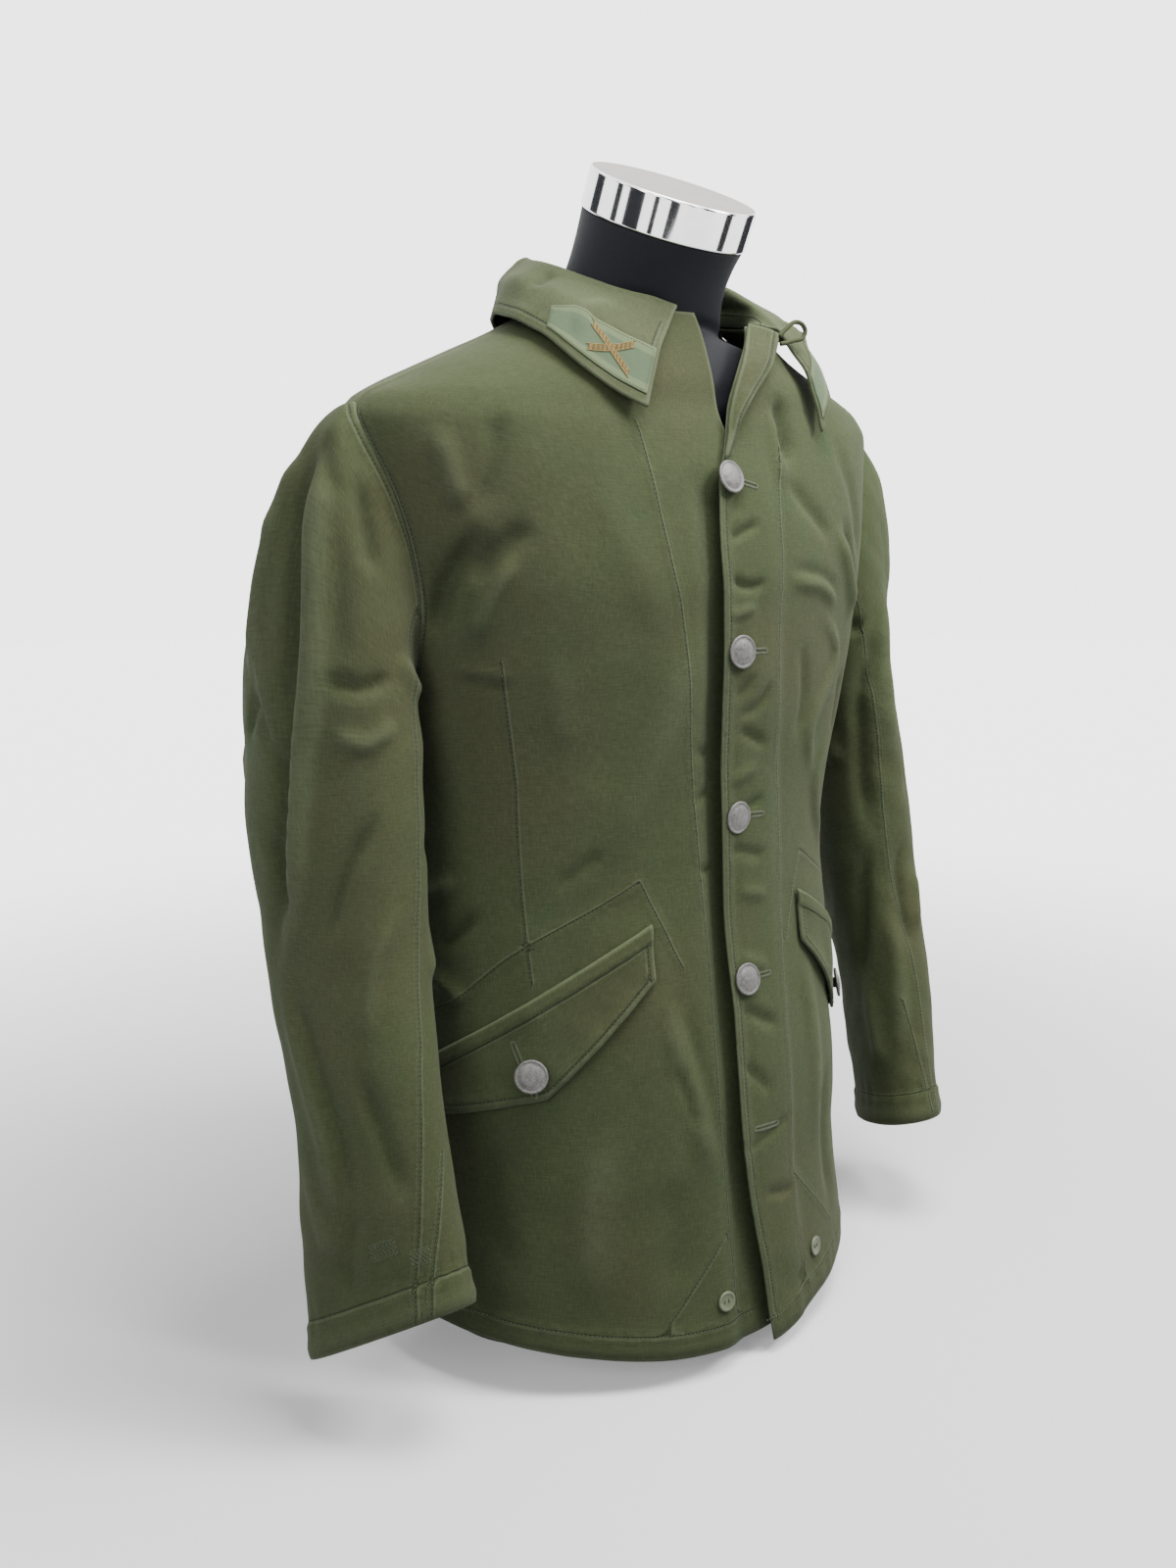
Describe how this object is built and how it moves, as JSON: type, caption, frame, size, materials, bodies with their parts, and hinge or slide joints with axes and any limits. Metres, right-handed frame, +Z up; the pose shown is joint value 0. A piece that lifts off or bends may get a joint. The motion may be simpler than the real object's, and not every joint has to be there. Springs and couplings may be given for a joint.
{
  "type": "field jacket on limbless dress form",
  "caption": "Olive cotton field jacket with metal buttons, slanting flap pockets and a flat collar, buttoned on a limbless black dress form with a polished neck cap.",
  "frame": {"origin": "centre of the dress form's flat base", "axes": "+Z up, the jacket's front faces -Y, the wearer's left is +X"},
  "size_m": [0.5906, 0.2836, 0.8202],
  "materials": {
    "cloth": "washed olive cotton, matt",
    "collar_patch": "sage green woven patch, matt",
    "metal_button": "dull grey stamped metal",
    "corner_button": "dull green",
    "form": "black, smooth",
    "neck_cap": "polished side, brushed top"
  },
  "bodies": {
    "root": {"back": "cloth", "right_front": "cloth", "left_front": "cloth", "left_lapel": "cloth", "collar": "cloth", "right_top_sleeve": "cloth", "right_under_sleeve": "cloth", "left_top_sleeve": "cloth", "left_under_sleeve": "cloth", "right_pocket_flap": "cloth", "left_pocket_flap": "cloth", "neck_loop": "cloth", "right_collar_patch": "collar_patch", "left_collar_patch": "collar_patch", "front_button_1": "metal_button", "front_button_2": "metal_button", "front_button_3": "metal_button", "front_button_4": "metal_button", "right_flap_button": "metal_button", "left_flap_button": "metal_button", "right_corner_button": "corner_button", "left_corner_button": "corner_button", "form_torso": "form", "form_neck_cap": "neck_cap"}
  },
  "joints": []
}
